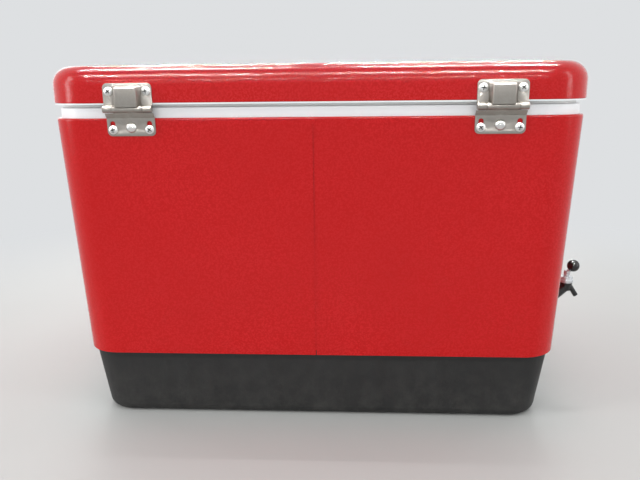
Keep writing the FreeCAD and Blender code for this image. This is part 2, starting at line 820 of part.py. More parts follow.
def hinge_rivet():
    # A plain dome with a short shank, in the middle of the lower leaf.
    radius = (size("rivet_radius") * size("rivet_radius") + size("rivet_high") * size("rivet_high")) \
        / (size("rivet_high") * 2)
    ball = doc.addObject("Part::Sphere", "rivet_ball")
    bind(ball, "Radius", radius)
    place(ball, 0, 0, size("rivet_high") - radius)
    dome = doc.addObject("Part::Common", "rivet_dome")
    dome.Base = cylinder("rivet_limit", size("rivet_radius"), size("rivet_high"))
    dome.Tool = ball
    shank = cylinder("rivet_shank", size("shank_radius"), size("shank_long"), 0, 0,
                     size("head_rim") - size("shank_long"))
    height = size("hinge_axis") - size("rivet_down")
    rivet = place(fuse("rivet_solid", dome, shank), 0, side_face(height) + size("leaf"), height,
                  *TO_BACK_LEANING)
    both_hinges(together("rivet_held", rivet), "rivet")


latch_line = -lid_face - size("latch_out")
half_latch = size("latch_wide") / 2
hasp_roll_half = half_latch - size("latch_knuckle") - size("knuckle_play")


def latch_bracket():
    axis = size("latch_axis")
    thick = size("leaf")
    body = new_body("latch_plate_body")
    low = axis - knuckle_radius
    sketch = rounded(body, "latch_plate_outline", "XZ_Plane", -half_latch, half_latch,
                     low, low + size("latch_plate_high"), size("leaf_corner"), lid_face)
    pad(body, "latch_plate", sketch, thick)
    pieces = [body]
    for side, start in (("a", -half_latch), ("b", half_latch - size("latch_knuckle"))):
        end = start + size("latch_knuckle")
        pieces.append(cylinder(f"latch_knuckle_{side}", knuckle_radius, size("latch_knuckle"), start,
                               latch_line, axis, "X"))
        pieces.append(box(f"latch_arm_{side}", start, end, latch_line, -lid_face,
                          axis - knuckle_radius, axis + knuckle_radius))
    bore = cylinder("latch_bore", size("pin_radius") + size("pin_seat"), size("latch_wide") + 2,
                    -half_latch - 1, latch_line, axis, "X")
    clear = size("knuckle_play")
    notch = box("latch_notch", -hasp_roll_half - clear, hasp_roll_half + clear,
                latch_line - knuckle_radius - 1, -lid_face + 1,
                axis - knuckle_radius - 1, axis + knuckle_radius + clear * 2)
    holes = []
    for side in (-1, 1):
        holes.append(cylinder(f"latch_hole{side + 1}", size("shank_radius") + size("shank_play"),
                              thick * 4, size("latch_screw_across") / 2 * side, -lid_face - thick * 2,
                              axis + size("latch_screw_up"), "Y"))
    node(cut("latch_bracket_cut", fuse("latch_bracket_solid", *pieces), bore, notch, *holes), "latch_bracket")


def latch_hasp():
    axis = size("latch_axis")
    half = size("leaf") / 2
    low = axis - size("hasp_long")
    out = sine(size("hasp_tab_lean"))
    down = cosine(size("hasp_tab_lean"))
    mitre = half * (1 - down) / out
    tip = latch_line - size("hasp_tab") * out
    tip_low = low - size("hasp_tab") * down
    neck_low = axis - knuckle_radius - size("knuckle_play") * 2
    body = new_body("hasp_body")
    points = [(latch_line + half, axis), (latch_line - half, axis), (latch_line - half, low + mitre),
              (tip - half * down, tip_low + half * out), (tip + half * down, tip_low - half * out),
              (latch_line + half, low - mitre)]
    sketch = profile(body, "hasp_outline", "YZ_Plane", points)
    plate = pad(body, "hasp_plate", sketch, size("hasp_wide"), both_ways=True)
    round_edges(body, "hasp_corners", plate,
                lambda bounds: bounds.DiagonalLength < half.value * 3 and bounds.ZMax < low.value - 2,
                size("leaf_corner"))
    roll = cylinder("hasp_roll", knuckle_radius, hasp_roll_half * 2, -hasp_roll_half, latch_line, axis, "X")
    cuts = [cylinder("hasp_bore", size("pin_radius") + size("pin_play"), size("latch_wide"), -half_latch,
                     latch_line, axis, "X")]
    for side, start, end in (("a", -half_latch, -hasp_roll_half), ("b", hasp_roll_half, half_latch)):
        cuts.append(box(f"hasp_notch_{side}", start, end, latch_line - knuckle_radius,
                        latch_line + knuckle_radius, neck_low, axis + 1))
    top = axis - size("window_down")
    window_body = new_body("hasp_window_body")
    outline = rounded(window_body, "hasp_window_outline", "XZ_Plane", -size("window_wide") / 2,
                      size("window_wide") / 2, top - size("window_high"), top, size("leaf"),
                      -latch_line - size("leaf"))
    pad(window_body, "hasp_window", outline, size("leaf") * 2)
    cuts.append(window_body)
    node(cut("hasp_cut", fuse("hasp_solid", body, roll), *cuts), "latch_hasp")


def latch_pin():
    pin = cylinder("latch_pin_rod", size("pin_radius"), size("latch_wide"), -half_latch, latch_line,
                   size("latch_axis"), "X")
    node(pin, "latch_pin")


def latch_keeper():
    # The plate on the jacket and the hooked nose that the hasp's window drops over.
    middle = size("latch_axis") - size("window_down") - size("window_high") / 2
    body = new_body("keeper_body")
    half = size("keeper_wide") / 2
    sketch = rounded(body, "keeper_outline", "XZ_Plane", -half, half, -size("keeper_high") / 2,
                     size("keeper_high") / 2, size("leaf_corner"))
    pad(body, "keeper_plate", sketch, size("leaf"))
    nose_body = new_body("nose_body")
    top = size("nose_high") / 2
    lip = size("nose_lip")
    tip = size("nose_reach")
    points = [(0, top), (lip - tip, top), (-tip, top - lip), (-tip, -top), (lip - tip, -top),
              (lip - tip, lip - top), (0, lip - top)]
    nose_sketch = profile(nose_body, "nose_outline", "YZ_Plane", points)
    pad(nose_body, "nose_block", nose_sketch, size("nose_wide"), both_ways=True)
    holes = []
    for side in (-1, 1):
        holes.append(cylinder(f"keeper_hole{side + 1}", size("shank_radius") + size("shank_play"),
                              size("leaf") * 4, size("keeper_screw_across") / 2 * side,
                              -size("leaf") * 2, 0, "Y"))
    keeper = cut("keeper_cut", fuse("keeper_solid", body, nose_body), *holes)
    node(place(keeper, 0, -side_face(middle), middle, (1, 0, 0), side_lean), "latch_keeper")
    return middle


def latch_screws(middle):
    half = size("latch_screw_across") / 2
    high = size("latch_axis") + size("latch_screw_up")
    upper = [pan_screw(f"latch_screw{side + 1}", 40 + 27 * side, half * side, -lid_face - size("leaf"), high,
                       *TO_FRONT) for side in (-1, 1)]
    node(together("latch_screws", *upper), "latch_bracket_screws")
    half = size("keeper_screw_across") / 2
    lower = [pan_screw(f"keeper_screw{side + 1}", 12 - 8 * side, half * side,
                       -side_face(middle) - size("leaf") / cosine(side_lean), middle,
                       *TO_FRONT_LEANING) for side in (-1, 1)]
    node(together("keeper_screws", *lower), "latch_keeper_screws")


def both_ends(piece, part):
    node(piece, f"right_handle_{part}")
    node(mirrored(f"left_handle_{part}_form", piece), f"left_handle_{part}")


handle_wall = end_face(size("handle_axis"))
handle_line = handle_wall + size("handle_out") / cosine(end_lean)
arm_side = size("bracket_spread") / 2 - size("ear_long") / 2 - size("bail_bend") - size("bail_clear")


def handle_bracket(which, side):
    # A screwed plate with a boss that the bail's end turns in.
    body = new_body(f"bracket_{which}_body")
    half = size("bracket_wide") / 2
    tall = size("bracket_high") / 2
    sketch = rounded(body, f"bracket_{which}_outline", "YZ_Plane", -half, half, -tall, tall,
                     size("bracket_corner"))
    pad(body, f"bracket_{which}_plate", sketch, size("bracket_sheet"))
    out = size("handle_out")
    ear = cylinder(f"bracket_{which}_ear", size("ear_radius"), size("ear_long"), out,
                   -size("ear_long") / 2, 0, "Y")
    web = box(f"bracket_{which}_web", 0, out, -size("ear_long") / 2, size("ear_long") / 2,
              -size("ear_radius"), size("ear_radius"))
    bore = cylinder(f"bracket_{which}_bore", size("bail_radius") + size("bail_play"),
                    size("ear_long") + 2, out, -size("ear_long") / 2 - 1, 0, "Y")
    holes = []
    for up in (-1, 1):
        holes.append(cylinder(f"bracket_{which}_hole{up + 1}", size("shank_radius") + size("shank_play"),
                              size("bracket_sheet") * 4, -size("bracket_sheet"), 0,
                              size("bracket_screw") * up, "X"))
    bracket = cut(f"bracket_{which}_cut", fuse(f"bracket_{which}_solid", body, ear, web), bore, *holes)
    # The boss's axis stays on the handle's own line, so the lean about that line costs nothing.
    x = handle_line - size("handle_out") * cosine(end_lean)
    z = size("handle_axis") + size("handle_out") * sine(end_lean)
    place(bracket, x, size("bracket_spread") / 2 * side, z, (0, 1, 0), end_lean)
    both_ends(bracket, f"{which}_bracket")


def handle_screws():
    screws = []
    for side in (-1, 1):
        for up in (-1, 1):
            reach = size("bracket_screw") * up
            x = handle_line - (size("handle_out") - size("bracket_sheet")) * cosine(end_lean) \
                + reach * sine(end_lean)
            z = size("handle_axis") + (size("handle_out") - size("bracket_sheet")) * sine(end_lean) \
                + reach * cosine(end_lean)
            screws.append(pan_screw(f"handle_screw{side + 1}{up + 1}", 35 * side + 17 * up, x,
                                    size("bracket_spread") / 2 * side, z, *TO_RIGHT_LEANING))
    both_ends(together("handle_screw_set", *screws), "screws")


def bend(name, y, z, start):
    # A quarter turn of the bail's rod in the YZ plane; start is the angle that it begins at.
    piece = doc.addObject("Part::Torus", name)
    bind(piece, "Radius1", size("bail_bend"))
    bind(piece, "Radius2", size("bail_radius"))
    piece.Angle3 = 90
    lay = FreeCAD.Rotation(FreeCAD.Vector(0, 1, 0), 90)
    turn = FreeCAD.Rotation(FreeCAD.Vector(0, 0, 1), start)
    piece.Placement = FreeCAD.Placement(FreeCAD.Vector(0, y.value, z.value), lay * turn)
    bind(piece, "Placement.Base.y", y)
    bind(piece, "Placement.Base.z", z)
    return piece


def handle_bail():
    rod = size("bail_radius")
    turn = size("bail_bend")
    drop = size("bail_drop")
    pin_end = size("bracket_spread") / 2 + size("ear_long") / 2 + 1
    reach = arm_side + turn
    pieces = [cylinder("bail_run", rod, (arm_side - turn) * 2, 0, turn - arm_side, -drop, "Y")]
    pieces.append(cylinder("bail_pin_b", rod, pin_end - reach, 0, reach, 0, "Y"))
    pieces.append(cylinder("bail_pin_a", rod, pin_end - reach, 0, -pin_end, 0, "Y"))
    for side, corners in ((-1, (90, 270)), (1, (180, 0))):
        y = arm_side * side
        pieces.append(cylinder(f"bail_arm{side + 1}", rod, drop - turn * 2, 0, y, turn - drop))
        pieces.append(bend(f"bail_top{side + 1}", y + turn * side, -turn, corners[0]))
        pieces.append(bend(f"bail_low{side + 1}", y - turn * side, turn - drop, corners[1]))
    both_ends(place(fuse("bail_rod", *pieces), handle_line, 0, size("handle_axis")), "bail")


def handle_grip():
    half = arm_side - size("bail_bend") - size("grip_end")
    body = new_body("grip_body")
    tube = body.newObject("PartDesign::AdditiveCylinder", "grip_tube")
    bind(tube, "Radius", size("grip_radius"))
    bind(tube, "Height", half * 2)
    doc.recompute()
    round_edges(body, "grip_ends", tube, lambda bounds: bounds.ZLength < 1e-3, size("grip_round"))
    bore = body.newObject("PartDesign::SubtractiveCylinder", "grip_bore")
    bind(bore, "Radius", size("bail_radius") + size("bail_play"))
    bind(bore, "Height", half * 2)
    doc.recompute()
    place(body, handle_line, -half, size("handle_axis") - size("bail_drop"), *ALONG["Y"])
    both_ends(body, "grip")


# The drain's middle is set up from the jacket's lower edge, to clear the pan's collar and the tub's floor.
tap_height = size("jacket_low") + size("tap_rise")
tap_wall = end_face(tap_height)
hub_start = size("washer") + size("flange_thick")
hub_end = hub_start + size("hub_long")
shank_reach = hub_end - size("hub_wall")


def on_tap(piece):
    # The tap's own frame starts on the jacket and leans with it: -X is out of the wall.
    spot = together(piece.Name + "_on_tap", piece)
    return place(spot, -tap_wall, size("tap_side"), tap_height, (0, -1, 0), end_lean)


def tap_bore(name, play):
    # The hole that the shank passes through, from outside the jacket to inside the tub.
    radius = size("shank_out") + play
    return on_tap(cylinder(name, radius, size("wall") * 3, -size("wall"), 0, 0, "X"))


def ring(name, outer, inner, start, end):
    # A washer about the shank's axis; start and end are distances out of the wall.
    disc = cylinder(name + "_disc", outer, end - start, -end, 0, 0, "X")
    hole = cylinder(name + "_hole", inner, end - start + 2, -end - 1, 0, 0, "X")
    return cut(name, disc, hole)


def drain_shank_set():
    inside = -size("wall") - size("boss")
    clear = size("shank_out") + size("shank_fit")
    washer = size("washer")
    end = inside - washer - size("nut_thick") - 1
    shank = ring("shank", size("shank_out"), size("shank_bore"), end, shank_reach)
    node(on_tap(shank), "drain_shank")
    node(on_tap(ring("outer_washer", size("washer_radius"), clear, as_size(0), washer)), "drain_outer_gasket")
    node(on_tap(ring("inner_washer", size("washer_radius"), clear, inside - washer, inside)),
         "drain_inner_gasket")
    node(on_tap(ring("flange", size("flange_radius"), clear, washer, washer + size("flange_thick"))),
         "drain_flange")
    nut_body = new_body("nut_body")
    # Six equal sides about the axis.
    reach = size("nut_across") / 2 / math.cos(math.pi / 6)
    corners = [(reach * math.cos(math.pi / 3 * turn), reach * math.sin(math.pi / 3 * turn))
               for turn in range(6)]
    outline = profile(nut_body, "nut_outline", "YZ_Plane", corners, -inside + washer)
    pad(nut_body, "nut_block", outline, size("nut_thick"))
    hole = cylinder("nut_hole", clear, size("nut_thick") + 2, -inside + washer - 1, 0, 0, "X")
    node(on_tap(cut("nut", nut_body, hole)), "drain_lock_nut")


def leaning(name, radius, length, out, up, angle):
    # A round bar in the tap's XZ plane, from a point, turned from straight up towards the outside.
    bar = cylinder(name, radius, length)
    return place(bar, -out, 0, up, (0, -1, 0), angle)


def drain_valve_body():
    stem_out = size("stem_out")
    rise = stem_out - hub_end
    top = size("barrel_top")
    barrel = cylinder("barrel", size("barrel_waist"), top - size("barrel_low"), -stem_out, 0,
                      size("barrel_low"))
    collar = cylinder("barrel_collar", size("barrel_radius"), size("barrel_collar"), -stem_out, 0,
                      top - size("barrel_collar"))
    hub = cylinder("hub", size("hub_radius"), size("hub_long"), -hub_end, 0, 0, "X")
    elbow = doc.addObject("Part::Sphere", "elbow")
    bind(elbow, "Radius", size("riser_radius"))
    place(elbow, -hub_end)
    riser = leaning("riser", size("riser_radius"), rise * math.sqrt(2), hub_end, 0, 45)
    spout_start = stem_out + size("spout_out")
    spout_up = top - size("spout_down")
    spout_turn = as_size(90) + size("spout_angle")
    spout = leaning("spout", size("spout_radius"), size("spout_long"), spout_start, spout_up, spout_turn)
    solid = fuse("valve_solid", barrel, collar, hub, elbow, riser, spout)
    floor = size("barrel_low") + size("plug_floor")
    socket = cylinder("valve_socket", size("shank_out") + size("shank_fit"),
                      shank_reach - hub_start + 1, -shank_reach, 0, 0, "X")
    chamber = cylinder("valve_chamber", size("plug_radius"), top - floor + 1, -stem_out, 0, floor)
    inlet = leaning("valve_inlet", size("riser_bore"), rise * math.sqrt(2), hub_end, 0, 45)
    mouth = cylinder("valve_mouth", size("riser_bore"), size("hub_long") / 2, -hub_end, 0, 0, "X")
    outlet = leaning("valve_outlet", size("spout_bore"), size("spout_long") + 1, spout_start, spout_up,
                     spout_turn)
    node(on_tap(cut("valve_cut", solid, socket, chamber, inlet, mouth, outlet)), "drain_valve_body")


def drain_bonnet():
    # The nut that closes the barrel: a wide skirt under a narrower neck.
    stem_out = size("stem_out")
    low = size("barrel_top")
    half = size("bonnet_high") / 2
    skirt = cylinder("bonnet_skirt", size("bonnet_radius"), half, -stem_out, 0, low)
    neck = cylinder("bonnet_neck", size("bonnet_radius") - 1, size("bonnet_high"), -stem_out, 0, low)
    hole = cylinder("bonnet_hole", size("stem_radius") + size("plug_play"), size("bonnet_high") + 2,
                    -stem_out, 0, low - 1)
    node(on_tap(cut("bonnet_cut", fuse("bonnet_solid", skirt, neck), hole)), "drain_bonnet")


def drain_plug():
    # The turning plug in the barrel, with the port that lets water through.
    stem_out = size("stem_out")
    play = size("plug_play")
    floor = size("barrel_low") + size("plug_floor") + play
    high = size("barrel_top") - floor - play
    plug = cylinder("plug_round", size("plug_radius") - play, high, -stem_out, 0, floor)
    port = cylinder("plug_port_form", size("plug_port"), size("plug_radius") * 3,
                    -stem_out - size("plug_radius") * 1.5, 0, floor + high / 2, "X")
    node(on_tap(cut("plug_cut", plug, port)), "drain_plug")


def knob_place(piece, lift):
    # Out along the leaning lever, from the top of the stem.
    top = size("barrel_top") + size("stem_high") - size("stem_radius")
    return place(piece, -size("stem_out"), 0, top + lift, (-1, -1, 0), size("lever_lean"))


def drain_lever():
    low = size("barrel_top") - size("plug_play")
    stem = cylinder("stem_rod", size("stem_radius"), size("stem_high") + size("plug_play"),
                    -size("stem_out"), 0, low)
    rod = knob_place(cylinder("lever_rod", size("lever_radius"), size("lever_long") - 2), 0)
    node(on_tap(fuse("lever_solid", stem, rod)), "drain_lever")


def drain_knob():
    ball = doc.addObject("Part::Sphere", "knob_ball")
    bind(ball, "Radius", size("knob_radius"))
    place(ball, 0, 0, size("lever_long"))
    hole = cylinder("knob_hole", size("lever_radius") + size("pin_seat"), size("lever_long") - 2 + 0.2)
    node(on_tap(knob_place(cut("knob_cut", ball, hole), 0)), "drain_knob")


def build():
    outer_jacket()
    base_pan()
    inner_tub()
    body_insulation()
    lid_shell()
    lid_liner()
    lid_insulation()
    lid_gasket()
    hinge_upper_leaf()
    hinge_lower_leaf()
    hinge_pin()
    hinge_screws()
    hinge_rivet()
    latch_bracket()
    latch_hasp()
    latch_pin()
    latch_screws(latch_keeper())
    handle_bracket("front", -1)
    handle_bracket("rear", 1)
    handle_screws()
    handle_bail()
    handle_grip()
    drain_shank_set()
    drain_valve_body()
    drain_bonnet()
    drain_plug()
    drain_lever()
    drain_knob()
    doc.recompute()


def check():
    faults = []
    for thing in doc.Objects:
        if "Invalid" in thing.State or "Error" in thing.State:
            faults.append(f"{thing.Label}: {thing.State}")
    for piece in nodes:
        if piece.Shape.isNull() or not piece.Shape.isValid() or piece.Shape.Volume <= 0:
            faults.append(f"{piece.Label}: no valid solid")
    if faults:
        raise RuntimeError("; ".join(faults))


def export():
    os.makedirs("parts", exist_ok=True)
    for piece in nodes:
        piece.Shape.exportStep(f"parts/{piece.Label}.step")
        print(piece.Label, len(piece.Shape.Solids), "solids", round(piece.Shape.Volume), "mm3")


build()
check()
export()
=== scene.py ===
import json
import math

import bpy
from mathutils import Matrix, Vector


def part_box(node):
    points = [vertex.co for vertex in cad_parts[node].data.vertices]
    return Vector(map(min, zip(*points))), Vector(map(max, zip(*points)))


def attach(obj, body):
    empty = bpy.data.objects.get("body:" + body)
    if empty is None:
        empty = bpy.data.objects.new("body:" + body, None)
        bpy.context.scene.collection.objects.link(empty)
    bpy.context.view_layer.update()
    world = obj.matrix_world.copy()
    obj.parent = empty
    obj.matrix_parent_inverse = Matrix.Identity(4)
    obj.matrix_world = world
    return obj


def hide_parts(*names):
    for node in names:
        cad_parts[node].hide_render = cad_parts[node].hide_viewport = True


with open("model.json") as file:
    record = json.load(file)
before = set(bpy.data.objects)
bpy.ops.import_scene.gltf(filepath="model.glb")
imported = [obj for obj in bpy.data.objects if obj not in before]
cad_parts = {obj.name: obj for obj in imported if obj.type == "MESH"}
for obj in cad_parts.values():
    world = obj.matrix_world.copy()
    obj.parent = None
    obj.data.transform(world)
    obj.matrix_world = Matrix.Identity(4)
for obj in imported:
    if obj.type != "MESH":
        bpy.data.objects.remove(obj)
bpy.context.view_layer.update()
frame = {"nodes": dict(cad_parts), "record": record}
nodes = frame["nodes"]
bodyOf = {name: body for body, names in frame["record"]["behaviour"]["bodies"].items() for name in names}
slotOf = {part["node"]: part["material_slot"] for part in frame["record"]["subparts"]}
print("loaded", len(nodes), "CAD nodes")

cameraView = {
    "place": (-0.04556, 0.88119, 0.38623),   # metres, behind the chest and a little to one side
    "tilt": 13.535,                          # degrees down
    "turn": 183.274,                         # degrees about Z, from looking along +Y
    "roll": -0.612,
    "lens": 36.0,
    "sensor": 36.0,
}


def addCamera(view):
    bpy.ops.object.camera_add()
    camera = bpy.context.object
    camera.name = "chestCamera"
    camera.data.lens = view["lens"]
    camera.data.sensor_width = view["sensor"]
    turn = Matrix.Rotation(math.radians(view["turn"]), 4, "Z")
    tilt = Matrix.Rotation(math.radians(90 - view["tilt"]), 4, "X")
    roll = Matrix.Rotation(math.radians(view["roll"]), 4, "Z")
    camera.matrix_world = Matrix.Translation(view["place"]) @ turn @ tilt @ roll
    bpy.context.scene.camera = camera


addCamera(cameraView)
print("camera set")


def addNode(tree, kind, **values):
    # Values are the node's own properties, or its inputs with _ for each space.
    node = tree.nodes.new(kind)
    for key, value in values.items():
        if hasattr(node, key):
            setattr(node, key, value)
        else:
            node.inputs[key.replace("_", " ")].default_value = value
    return node


def addMath(tree, operation, *given):
    # Each value given is a number or another node's output.
    node = addNode(tree, "ShaderNodeMath", operation=operation)
    for socket, value in zip(node.inputs, given):
        if isinstance(value, float):
            socket.default_value = value
        else:
            tree.links.new(value, socket)
    return node.outputs["Value"]


colourMix = {"share": 0, "base": 6, "over": 7, "mixed": 2}   # the Mix node's sockets for colours


def blendColours(tree, share, base, over):
    # Base and over are each a colour or another node's output.
    mix = addNode(tree, "ShaderNodeMix", data_type="RGBA")
    tree.links.new(share, mix.inputs[colourMix["share"]])
    for which, value in (("base", base), ("over", over)):
        if isinstance(value, tuple):
            mix.inputs[colourMix[which]].default_value = (*value, 1)
        else:
            tree.links.new(value, mix.inputs[colourMix[which]])
    return mix.outputs[colourMix["mixed"]]


def blendShaders(tree, share, base, over, output):
    blend = addNode(tree, "ShaderNodeMixShader")
    tree.links.new(share, blend.inputs["Fac"])
    tree.links.new(base, blend.inputs[1])
    tree.links.new(over, blend.inputs[2])
    tree.links.new(blend.outputs["Shader"], tree.nodes[output].inputs["Surface"])


room = {
    "floorSize": 14.0,
    "floorColour": (0.50, 0.505, 0.49),
    "floorRough": 0.6,
    "floorCloud": (3.0, 6.0),                # scale and detail
    "floorShades": (0.95, 1.05),             # the clouds' darkest and lightest, as shares of the colour
    "farColour": (0.73, 0.745, 0.76),        # what the floor fades into, and the backdrop
    "fadeFrom": 0.55,                        # metres from the middle of the chest
    "fadeTo": 1.15,
    "lowColour": (0.93, 0.935, 0.94),        # the room's light, from the horizon up
    "highColour": (0.96, 0.97, 0.98),
    "highFrom": 0.8,                         # where the high colour is reached, of straight up
    "worldStrength": 1.04,
    "tubeHeight": 2.3,
    "tubeWidth": 0.018,
    "tubeWatts": 55.0,                       # each metre of tube
    "tubes": [                               # distance behind the chest, start and end along X
        (-0.19, 0.27, 1.45),
        (-0.19, -1.25, -0.05),
        (1.58, 0.35, 1.55),
        (1.58, -1.20, 0.11),
        (4.55, 0.48, 2.30),
        (4.55, -1.75, 0.23),
        (-1.95, 0.30, 1.50),
        (-1.95, -1.25, 0.10),
        (-4.80, -1.70, 2.10),
    ],
    "panels": [                              # place, height, width, watts; they face the chest
        ((2.40, 0.95, 1.00), 1.7, 0.55, 20.0),
        ((-2.40, 0.95, 1.00), 1.7, 0.40, 10.0),
        ((1.60, -2.20, 1.00), 1.6, 0.50, 3.5),
    ],
    "panelAim": (0, 0, 0.3),
}


def seenRays(tree):
    # One for what the camera sees, straight or in a mirror or glass.
    path = addNode(tree, "ShaderNodeLightPath")
    seen = path.outputs["Is Camera Ray"]
    for kind in ("Is Glossy Ray", "Is Transmission Ray"):
        seen = addMath(tree, "MAXIMUM", seen, path.outputs[kind])
    return seen


def addFloor(look):
    bpy.ops.mesh.primitive_plane_add(size=look["floorSize"], location=(0, 0, 0))
    floor = bpy.context.object
    floor.name = "paleFloor"
    paint = bpy.data.materials.new("paleFloorPaint")
    paint.use_nodes = True
    tree = paint.node_tree
    shader = tree.nodes["Principled BSDF"]
    shader.inputs["Roughness"].default_value = look["floorRough"]
    place = addNode(tree, "ShaderNodeTexCoord").outputs["Object"]
    scale, detail = look["floorCloud"]
    cloud = addNode(tree, "ShaderNodeTexNoise", Scale=scale, Detail=detail)
    tint = addNode(tree, "ShaderNodeValToRGB")
    for element, shade in zip(tint.color_ramp.elements, look["floorShades"]):
        element.color = [part * shade for part in look["floorColour"]] + [1]
    tree.links.new(place, cloud.inputs["Vector"])
    tree.links.new(cloud.outputs["Fac"], tint.inputs["Fac"])
    tree.links.new(tint.outputs["Color"], shader.inputs["Base Color"])
    reach = addNode(tree, "ShaderNodeVectorMath", operation="LENGTH")
    fade = addNode(tree, "ShaderNodeMapRange", interpolation_type="SMOOTHSTEP",
                   From_Min=look["fadeFrom"], From_Max=look["fadeTo"])
    tree.links.new(place, reach.inputs[0])
    tree.links.new(reach.outputs["Value"], fade.inputs["Value"])
    far = addNode(tree, "ShaderNodeEmission", Color=(*look["farColour"], 1))
    share = addMath(tree, "MULTIPLY", fade.outputs["Result"], seenRays(tree))
    blendShaders(tree, share, shader.outputs["BSDF"], far.outputs["Emission"], "Material Output")
    floor.data.materials.append(paint)


def addWorld(look):
    world = bpy.data.worlds.new("paleRoom")
    bpy.context.scene.world = world
    world.use_nodes = True
    tree = world.node_tree
    place = addNode(tree, "ShaderNodeTexCoord")
    split = addNode(tree, "ShaderNodeSeparateXYZ")
    rise = addNode(tree, "ShaderNodeMapRange", From_Max=look["highFrom"])
    tree.links.new(place.outputs["Generated"], split.inputs["Vector"])
    tree.links.new(split.outputs["Z"], rise.inputs["Value"])
    shade = blendColours(tree, rise.outputs["Result"], look["lowColour"], look["highColour"])
    sky = tree.nodes["Background"]
    sky.inputs["Strength"].default_value = look["worldStrength"]
    tree.links.new(shade, sky.inputs["Color"])
    backdrop = addNode(tree, "ShaderNodeBackground", Color=(*look["farColour"], 1))
    path = addNode(tree, "ShaderNodeLightPath")
    blendShaders(tree, path.outputs["Is Camera Ray"], sky.outputs["Background"],
                 backdrop.outputs["Background"], "World Output")


def addAreaLight(name, place, size, watts):
    bpy.ops.object.light_add(type="AREA", location=place)
    light = bpy.context.object
    light.name = name
    light.data.shape = "RECTANGLE"
    light.data.size, light.data.size_y = size
    light.data.energy = watts
    return light


def addTubes(look):
    for behind, start, end in look["tubes"]:
        middle = ((start + end) / 2, behind, look["tubeHeight"])
        watts = look["tubeWatts"] * (end - start)
        tube = addAreaLight("ceilingTube", middle, (end - start, look["tubeWidth"]), watts)
        tube.visible_diffuse = False         # tubes show in what shines; the room gives the light


def addPanels(look):
    for place, high, wide, watts in look["panels"]:
        panel = addAreaLight("sidePanel", place, (wide, high), watts)
        aim = Vector(look["panelAim"]) - Vector(place)
        panel.rotation_euler = aim.to_track_quat("-Z", "Y").to_euler()


addFloor(room)
addWorld(room)
addTubes(room)
addPanels(room)
bpy.context.scene.view_settings.view_transform = "Standard"
print("room and lights set")


def newGroup(name, sockets):
    # Sockets are (name, True for an input, starting value), all of them plain numbers.
    group = bpy.data.node_groups.new(name, "ShaderNodeTree")
    for label, isInput, start in sockets:
        way = "INPUT" if isInput else "OUTPUT"
        socket = group.interface.new_socket(label, in_out=way, socket_type="NodeSocketFloat")
        if start is not None:
            socket.default_value = start
    return group, group.nodes.new("NodeGroupInput"), group.nodes.new("NodeGroupOutput")


pebbles = {
    "drift": 0.006,                          # metres that the cells are pushed about
    "driftNoise": (60.0, 2.0),               # scale and detail
    "melt": 0.5,                             # how far a cell melts into the next
    "foldShare": 0.7,                        # folds to each cell
    "foldNoise": (3.0, 0.55),                # detail and roughness
    "foldLine": 0.5,                         # the noise's value along a fold
    "foldReach": 0.11,                       # how far from that value the fold's sides end
    "patchNoise": (14.0, 3.0),               # scale and detail
}


def grainGroup(look):
    # Raised pebbles and the fine creases between them, as rolled into sheet or moulded into plastic.
    group, given, out = newGroup("pebbleGrain", [
        ("Cells", True, 420.0),
        ("Creases", True, 0.5),
        ("Height", False, None),
        ("Mask", False, None),
    ])
    link = group.links.new
    place = addNode(group, "ShaderNodeTexCoord").outputs["Object"]
    scale, detail = look["driftNoise"]
    drift = addNode(group, "ShaderNodeTexNoise", Scale=scale, Detail=detail)
    shift = addNode(group, "ShaderNodeVectorMath", operation="MULTIPLY_ADD")
    shift.inputs[1].default_value = [look["drift"]] * 3
    link(place, drift.inputs["Vector"])
    link(drift.outputs["Color"], shift.inputs[0])
    link(place, shift.inputs[2])
    cells = addNode(group, "ShaderNodeTexVoronoi", feature="SMOOTH_F1", Smoothness=look["melt"])
    link(shift.outputs["Vector"], cells.inputs["Vector"])
    link(given.outputs["Cells"], cells.inputs["Scale"])
    detail, rough = look["foldNoise"]
    folds = addNode(group, "ShaderNodeTexNoise", Detail=detail, Roughness=rough)
    link(shift.outputs["Vector"], folds.inputs["Vector"])
    link(addMath(group, "MULTIPLY", given.outputs["Cells"], look["foldShare"]), folds.inputs["Scale"])
    offLine = addMath(group, "SUBTRACT", folds.outputs["Fac"], look["foldLine"])
    crease = addNode(group, "ShaderNodeMapRange", interpolation_type="SMOOTHSTEP",
                     From_Max=look["foldReach"])
    link(addMath(group, "ABSOLUTE", offLine), crease.inputs["Value"])
    mix = addNode(group, "ShaderNodeMix", data_type="FLOAT")
    link(given.outputs["Creases"], mix.inputs[0])
    link(cells.outputs["Distance"], mix.inputs[2])
    link(crease.outputs["Result"], mix.inputs[3])
    link(mix.outputs[0], out.inputs["Height"])
    scale, detail = look["patchNoise"]
    patch = addNode(group, "ShaderNodeTexNoise", Scale=scale, Detail=detail)
    link(place, patch.inputs["Vector"])
    link(patch.outputs["Fac"], out.inputs["Mask"])
    return group


dustSpecks = {
    "scale": 55.0,
    "detail": 8.0,
    "rough": 0.7,
    "from": 0.42,                            # the noise's values where a speck starts and is full
    "full": 0.68,
}


